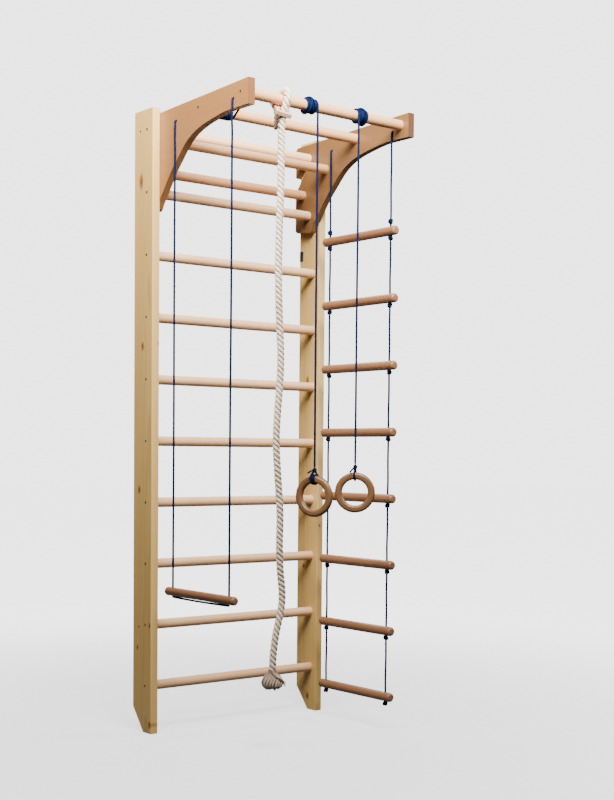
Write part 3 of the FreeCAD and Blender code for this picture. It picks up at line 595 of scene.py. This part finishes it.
# Each ring's knot above its centre, and the turns round its section, 25 by 22 mm.
knot_rise = 0.0885
ring_middle = 0.0575
wrap_gap = 0.0034
wrap_half_wide, wrap_half_thick = 0.0125 + wrap_gap, 0.011 + wrap_gap
wrap_pitch = 0.0064
wrap_lead = math.radians(50)
for name, x, knot_top, _, _, height, turn, dip, wraps in ring_sets:
    knot_centre = Vector((x, ring_row, height + knot_rise))
    parts = ([], [], [])
    knotted(parts, knot_centre, 1.12, 0.5)
    knotted(parts, knot_centre + Vector((0.0, 0.0, -0.004)), 0.9, 1.6)
    neck = [knot_centre + Vector((0, 0, rise)) for rise in (0.0135, 0.006, 0)]
    cord_tube(parts, neck)
    fall = math.radians(dip)
    out = Vector((-math.cos(fall), 0.0, -math.sin(fall)))
    tail = spine([knot_centre + out * 0.003, knot_centre + out * 0.012 + Vector((0, 0, 0.002)),
                  knot_centre + out * 0.021 + Vector((0, 0, 0.001)), knot_centre + out * 0.0295])
    cord_tube(parts, stepped(tail, fine_step), side=Vector((0, 1, 0)))
    ring_knot = as_piece(name + "_tied_knot", parts, cord_finish)
    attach(ring_knot, name + "_grip")
    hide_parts(name + "_knot")
    drop = ring_hinge - knot_top
    cord_piece(name + "_hanging_cord",
               [(x, ring_row, ring_hinge), (x + 0.0008, ring_row, ring_hinge - 0.25 * drop),
                (x - 0.0006, ring_row, ring_hinge - 0.55 * drop),
                (x + 0.0004, ring_row, ring_hinge - 0.8 * drop), (x, ring_row, knot_top)],
               name + "_line", [name + "_cord"])

    last = 2 * math.pi * wraps - wrap_lead
    wrap_route = [(0.0, 0.0, knot_rise)]
    wrap_points = turn_points * wraps - 3
    for i in range(wrap_points + 1):
        angle = wrap_lead + (last - wrap_lead) * i / wrap_points
        lean = wrap_pitch / ring_middle * (angle - math.pi * wraps) / (2 * math.pi)
        r = ring_middle + wrap_half_wide * corner_out * math.cos(angle)
        wrap_route.append((math.sin(lean) * r, -wrap_half_thick * corner_out * math.sin(angle),
                           math.cos(lean) * r))
    wrap_route.append((0.0, 0.0, knot_rise))
    placed = (Matrix.Translation((x, ring_row, height))
              @ Matrix.Rotation(math.radians(-turn), 4, "Z"))
    parts = ([], [], [])
    cord_tube(parts, stepped(spine([placed @ Vector(spot) for spot in wrap_route]), fine_step))
    wrap = as_piece(name + "_wrapped_cord", parts, cord_finish)
    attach(wrap, name + "_grip")
    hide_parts(name + "_wrap")


# The trapeze's cord: wound thirteen times round the middle bar, it goes out through the left
# plate by two holes, hangs outside it, and passes down through the bar and along under it.
trapeze_x = -0.3633

# The two holes of each plate, the inner one first: their Y and their height.
rows = (-0.2199, -0.5590)
row_heights = (2.137, 2.146)
inner_z, outer_z = row_heights
middle_y, middle_z = -0.3545, 2.1576
middle_wound = 0.0213
exit_height, plate_edge = 2.122, 1.994
winding_turns, winding_pitch = 13, 0.0078
first_x = -0.3304
last_x = first_x + winding_turns * winding_pitch
route = [
    (trapeze_x, rows[0], exit_height), (trapeze_x, rows[0], 2.129), (trapeze_x, rows[0], inner_z),
    (trapeze_x + 0.008, rows[0], inner_z), (-0.3387, rows[0], inner_z), (-0.3307, rows[0], inner_z),
    (-0.3307, rows[0] - 0.008, inner_z), (first_x, middle_y + 0.018, middle_z - middle_wound),
    (first_x, middle_y + 0.0053, middle_z - middle_wound),
]
for i in range(winding_turns * turn_points - 1):
    angle = 2 * math.pi * (i + 1) / turn_points
    route.append((first_x + winding_pitch * (i + 1) / turn_points,
                  middle_y - middle_wound * corner_out * math.sin(angle),
                  middle_z - middle_wound * corner_out * math.cos(angle)))
route += [
    (last_x, middle_y - 0.0053, middle_z - middle_wound),
    (last_x, middle_y - 0.018, middle_z - middle_wound),
    (-0.3124, -0.5498, 2.1455), (-0.3167, rows[1], outer_z), (-0.3269, rows[1], outer_z),
    (-0.3387, rows[1], outer_z), (trapeze_x + 0.008, rows[1], outer_z),
    (trapeze_x, rows[1], outer_z), (trapeze_x, rows[1], 2.138), (trapeze_x, rows[1], 2.130),
    (trapeze_x, rows[1], exit_height),
]
cord_piece("trapeze_bar_turns", route, "wall_bars", ["trapeze_winding"],
           step=fine_step)
for place, row in zip(("inner", "outer"), rows):
    cord_piece("trapeze_upper_cord_" + place,
               [(trapeze_x, row, exit_height), (trapeze_x - 0.0006, row + 0.002, 2.085),
                (trapeze_x - 0.0003, row - 0.002, 2.035), (trapeze_x, row, plate_edge)],
               "trapeze_upper_cords", ["trapeze_cord_upper"])
under = 0.4972
lower_route = [
    (rows[0], plate_edge), (rows[0] + 0.0015, 1.60), (rows[0] - 0.001, 1.10), (rows[0], 0.62),
    (rows[0], 0.53), (rows[0], 0.507), (rows[0], under), (rows[0] - 0.009, under),
    (-0.30, under - 0.0015), (-0.39, under - 0.002), (-0.48, under - 0.001),
    (rows[1] + 0.009, under), (rows[1], under), (rows[1], 0.507), (rows[1], 0.53),
    (rows[1], 0.62), (rows[1] + 0.001, 1.10), (rows[1] - 0.0015, 1.60), (rows[1], plate_edge),
]
cord_piece("trapeze_lower_cord", [(trapeze_x, y, z) for y, z in lower_route],
           "trapeze", ["trapeze_cord_lower"])


# The rope ladder's cords: knotted outside the right plate, they come in through its holes,
# hang along it, and pass through each rung, which rests on a knot.
ladder_x = 0.3307
ladder_rungs = 8
highest_rung, rung_pitch = 1.7965, 0.239
ladder_heights = [highest_rung - rung_pitch * k for k in range(ladder_rungs)]
plate_outside = 0.36
stopper_x = plate_outside + 0.0078
stopper_size, ladder_knot_size = 1.15, 1.35
knot_drop, top_knot_rise = 0.0243, 0.0338
cord_below, last_below = 0.046, 0.028
for place, row, height in zip(("inner", "outer"), rows, row_heights):
    stopper = knot_piece("ladder_stopper_" + place, (stopper_x, row, height), "wall_bars", 0.4,
                         stopper_size)
    cord_piece("ladder_upper_cord_" + place,
               [(stopper_x, row, height), (0.348, row, height), (ladder_x + 0.008, row, height),
                (ladder_x, row, height), (ladder_x, row, height - 0.008),
                (ladder_x, row + 0.001, 2.085), (ladder_x, row - 0.001, 2.04),
                (ladder_x, row, plate_edge)],
               "wall_bars", ["ladder_anchor", "ladder_cord_upper"])
for k, height in enumerate(ladder_heights):
    body = "ladder_step_%d" % (k + 1)
    lowest = k == ladder_rungs - 1
    top = plate_edge if k == 0 else ladder_heights[k - 1] - cord_below
    end = height - (last_below if lowest else cord_below)
    for place, row in zip(("inner", "outer"), rows):
        tag = "%d_%s" % (k + 1, place)
        knots = [knot_piece("ladder_knot_" + tag, (ladder_x, row, height - knot_drop), body,
                            0.7 * k + row, ladder_knot_size)]
        if k == 0:
            above = (ladder_x, row, height + top_knot_rise)
            knots.append(knot_piece("ladder_top_knot_" + tag, above, body, 2.0, ladder_knot_size))
        wave = 0.0012 * (-1) ** k
        cord_piece("ladder_side_cord_" + tag,
                   [(ladder_x, row, top), (ladder_x, row + wave, top - 0.05),
                    (ladder_x, row - wave, height + 0.07), (ladder_x, row, height + 0.03),
                    (ladder_x, row, height - 0.01), (ladder_x, row, end)],
                   body, ["ladder_cord_%d" % (k + 1)])


# The posts: planed pine boards, 30 by 120 mm, clear-lacquered, with brown knots through
# them and round growth rings that run up the faces as fine lines.
def dressed(material, *names):
    """Gives CAD nodes this material in place of their plain one."""
    for name in names:
        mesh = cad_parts[name].data
        mesh.materials.clear()
        mesh.materials.append(material)


def moved(tree, places, by):
    """The places moved by three distances."""
    return join_up(tree, "ShaderNodeMapping", {"Vector": places, "Location": by}).outputs[0]


def faded(tree, square):
    """A share that falls from one as this square of a distance grows."""
    return calc(tree, "EXPONENT", calc(tree, "MULTIPLY", square, -1.1))


def lacquered(shader):
    """Gives the shader its thin clear coat."""
    shader.inputs["Coat Weight"].default_value = 0.12
    shader.inputs["Coat Roughness"].default_value = 0.3


post_front = -0.120
year_width = 0.0052
hole_x, hole_y, hole_heights = 0.388, -0.038, (2.1295, 0.3750)


def pine(name, pith, knots, spots, side, seed):
    """Pale pine with its growth rings round a pith beside the board, brown knots through the board,
    small ones that show on its front edge only, and painted shade for two holes on its outer side."""
    made, tree, shader, places = finish(name, 0.42)
    shifted = moved(tree, places, (0.0, 0.0, seed))
    split = join_up(tree, "ShaderNodeSeparateXYZ", {0: places}).outputs
    waver = grains(tree, shifted, (5.0, 5.0, 0.9), 2.0)
    knot_share, push = None, None
    for y, z, wide, high in knots:
        dy = calc(tree, "MULTIPLY_ADD", split[1], 1 / wide, -y / wide)
        dz = calc(tree, "MULTIPLY_ADD", split[2], 1 / high, -z / high)
        square = calc(tree, "MULTIPLY_ADD", dy, dy, calc(tree, "MULTIPLY", dz, dz))
        here = faded(tree, square)
        wide_here = calc(tree, "DIVIDE", dy, calc(tree, "MULTIPLY_ADD", square, 0.55, 1.0))
        knot_share = here if knot_share is None else calc(tree, "MAXIMUM", knot_share, here)
        push = wide_here if push is None else calc(tree, "ADD", push, wide_here)
    for x, z, wide, high in spots:
        square = calc(tree, "POWER", calc(tree, "MULTIPLY_ADD", split[0], 1 / wide, -x / wide), 2.0)
        for axis, spot, size in [(1, post_front, 0.012), (2, z, high)]:
            away = calc(tree, "MULTIPLY_ADD", split[axis], 1 / size, -spot / size)
            square = calc(tree, "MULTIPLY_ADD", away, away, square)
        knot_share = calc(tree, "MAXIMUM", knot_share, faded(tree, square))
    px = calc(tree, "SUBTRACT", split[0], pith[0])
    py = calc(tree, "SUBTRACT", split[1], pith[1])
    py = calc(tree, "MULTIPLY_ADD", push, -0.006, py)
    far = calc(tree, "SQRT", calc(tree, "MULTIPLY_ADD", px, px, calc(tree, "MULTIPLY", py, py)))
    far = calc(tree, "MULTIPLY_ADD", waver, 0.030, far)
    far = calc(tree, "MULTIPLY_ADD", split[2], 0.0035, far)
    year = calc(tree, "FRACT", calc(tree, "DIVIDE", far, year_width))
    line = ramp(tree, year, [(0.0, grey(0.05)), (0.55, grey(0.28)), (0.9, grey(1.0)),
                             (1.0, grey(0.05))])
    tone = grains(tree, shifted, (9.0, 9.0, 0.7), 3.0)
    fibre = grains(tree, shifted, (900.0, 900.0, 14.0), 3.0)
    pale = ramp(tree, tone, [(0.25, (0.61, 0.37, 0.105)), (0.5, (0.68, 0.43, 0.136)),
                             (0.75, (0.75, 0.505, 0.182))])
    lined = blended(tree, calc(tree, "MULTIPLY", line, 0.42), pale, (0.46, 0.235, 0.055, 1.0))
    brown = ramp(tree, knot_share, [(0.30, (0.50, 0.27, 0.075)), (0.55, (0.38, 0.19, 0.050)),
                                    (0.80, (0.30, 0.13, 0.035)), (0.97, (0.17, 0.07, 0.022))])
    in_knot = ramp(tree, knot_share, [(0.22, grey(0.0)), (0.42, grey(1.0))])
    knotty = blended(tree, in_knot, lined, brown)
    for z in hole_heights:
        spot = join_up(tree, "ShaderNodeVectorMath", {0: places, 1: (side * hole_x, hole_y, z)},
                       operation="DISTANCE").outputs["Value"]
        # Painted shade: a dark disc stands for the shade inside each hole.
        hole_shade = rescaled(tree, spot, 0.0050, 0.0036)
        knotty = blended(tree, hole_shade, knotty, (0.10, 0.045, 0.016, 1.0))
    fibres = ramp(tree, fibre, [(0.3, grey(0.40)), (0.7, grey(0.60))])
    fine = blended(tree, 0.3, knotty, fibres, "SOFT_LIGHT")
    tree.links.new(fine, shader.inputs["Base Color"])
    rough = ramp(tree, fibre, [(0.3, grey(0.36)), (0.7, grey(0.50))])
    tree.links.new(rough, shader.inputs["Roughness"])
    raised(tree, shader, calc(tree, "MULTIPLY_ADD", line, 0.6, fibre), 0.00018)
    lacquered(shader)
    return made


left_pine = pine("left_post_pine", (-0.52, -0.10),
                 [(-0.044, 1.953, 0.014, 0.030), (-0.057, 1.374, 0.010, 0.016),
                  (-0.038, 0.866, 0.009, 0.015), (-0.110, 0.386, 0.007, 0.011),
                  (-0.112, 0.032, 0.009, 0.014), (-0.030, 0.300, 0.006, 0.010)],
                 [(-0.3640, 1.382, 0.004, 0.008)], -1, 0.0)
right_pine = pine("right_post_pine", (0.47, -0.02),
                  [(-0.053, 1.285, 0.010, 0.017), (-0.069, 0.051, 0.010, 0.016),
                   (-0.040, 0.560, 0.007, 0.012)],
                  [(0.3720, 0.722, 0.004, 0.007), (0.3850, 1.235, 0.004, 0.007)], 1, 3.7)
dressed(left_pine, "left_post")
dressed(right_pine, "right_post")


# The rungs and the frame's bars: turned beech rods, pinkish and close-grained, with the
# short dark flecks of that wood, sanded smooth and clear-lacquered.
def beech(name, along, pale, mid, brown, seed=0.0, roughness=0.42, sawn=None):
    """Close-grained wood whose fibres run along one axis: 0 for X, 1 for Y, 2 for Z. A sawn end,
    where given, is a place on Y at which the bare end grain has drunk the lacquer and is darker."""
    made, tree, shader, places = finish(name, roughness)
    shifted = moved(tree, places, (seed,) * 3)

    def scales(across, down):
        return tuple(down if i == along else across for i in range(3))

    tone = grains(tree, shifted, scales(7.0, 0.9), 3.0)
    streak = grains(tree, shifted, scales(160.0, 3.0), 4.0)
    fleck = grains(tree, shifted, scales(1400.0, 110.0), 2.0, 0.7)
    palest = tuple(min(1.0, 1.06 * c) for c in pale)
    body = ramp(tree, tone, [(0.25, mid), (0.5, pale), (0.75, palest)])
    streaks = ramp(tree, streak, [(0.35, grey(0.0)), (0.75, grey(0.55))])
    streaked = blended(tree, streaks, body, (*mid, 1.0))
    flecks = ramp(tree, fleck, [(0.60, grey(0.0)), (0.70, grey(0.55))])
    flecked = blended(tree, flecks, streaked, (*brown, 1.0))
    if sawn:
        far = join_up(tree, "ShaderNodeSeparateXYZ", {0: places}).outputs[1]
        end = rescaled(tree, far, sawn + 0.0012, sawn + 0.0002)
        flecked = blended(tree, end, flecked, (*brown, 1.0))
    tree.links.new(flecked, shader.inputs["Base Color"])
    rough = ramp(tree, streak, [(0.3, grey(roughness - 0.06)), (0.7, grey(roughness + 0.08))])
    tree.links.new(rough, shader.inputs["Roughness"])
    raised(tree, shader, calc(tree, "MULTIPLY_ADD", fleck, -0.6, streak), 0.00012)
    lacquered(shader)
    return made


rung_beech = beech("rung_beech", 0, (0.80, 0.485, 0.262), (0.68, 0.38, 0.185),
                   (0.40, 0.20, 0.08))
dressed(rung_beech, *["rung_%d" % (i + 1) for i in range(10)])
bar_beech = beech("bar_beech", 0, (0.74, 0.39, 0.185), (0.65, 0.315, 0.138),
                  (0.41, 0.18, 0.07), 1.7)
dressed(bar_beech, "front_bar", "middle_bar", "rear_upper_bar", "rear_lower_bar")
slider_beech = beech("slider_beech", 0, (0.62, 0.39, 0.24), (0.53, 0.31, 0.18),
                     (0.34, 0.17, 0.09), 0.9)
dressed(slider_beech, "rope_slider")


# The screws: zinc-plated, countersunk with a cross recess, and gone dull in the wood. The
# two angles at the posts' rear edges are black steel.
def metal(name, colours, metallic, roughness):
    """Dull metal with faint clouding."""
    made, tree, shader, places = finish(name, roughness)
    cloud = grains(tree, places, (220.0, 220.0, 220.0), 4.0)
    clouded = ramp(tree, cloud, [(0.3, colours[0]), (0.7, colours[1])])
    tree.links.new(clouded, shader.inputs["Base Color"])
    rough = ramp(tree, cloud, [(0.3, grey(roughness - 0.08)), (0.7, grey(roughness + 0.1))])
    tree.links.new(rough, shader.inputs["Roughness"])
    raised(tree, shader, cloud, 0.00005)
    shader.inputs["Metallic"].default_value = metallic
    return made


screw_zinc = metal("screw_zinc", [(0.20, 0.16, 0.10), (0.32, 0.27, 0.18)], 1.0, 0.45)
dressed(screw_zinc, "rung_screws", "bar_screws")
black_steel = metal("black_steel", [(0.020, 0.018, 0.017), (0.045, 0.04, 0.038)], 0.3, 0.55)
dressed(black_steel, "wall_hangers")


# The plates: 26 mm board sawn to a bracket's curve, orange-brown under the lacquer, with
# a slot that hooks over the top rung and two eased holes for the cords.
plate_end = -0.6425
left_board = beech("left_plate_board", 1, (0.33, 0.148, 0.048), (0.275, 0.115, 0.034),
                   (0.17, 0.066, 0.018), 2.3, 0.40, plate_end)
# Painted shade: the right board is a darker copy of the left one, for the shade on its inner face.
shaded_right_board = beech("right_plate_shaded_board", 1, (0.18, 0.085, 0.028), (0.148, 0.066, 0.0205),
                    (0.095, 0.038, 0.0115), 7.9, 0.40, plate_end)
dressed(left_board, "left_plate")
dressed(shaded_right_board, "right_plate")


# The rings, the trapeze's bar and the ladder's rungs: darker turned wood with rounded ends
# and edges, lacquered to a satin gloss.
ring_wood = beech("ring_wood", 2, (0.195, 0.092, 0.035), (0.150, 0.066, 0.024),
                  (0.084, 0.034, 0.012), 4.1, 0.36)
dressed(ring_wood, "left_ring", "right_ring")
dark_beech = beech("dark_beech", 1, (0.275, 0.128, 0.058), (0.21, 0.091, 0.040),
                   (0.12, 0.049, 0.022), 5.3)
dressed(dark_beech, "trapeze_bar", *["ladder_rung_%d" % (k + 1) for k in range(ladder_rungs)])
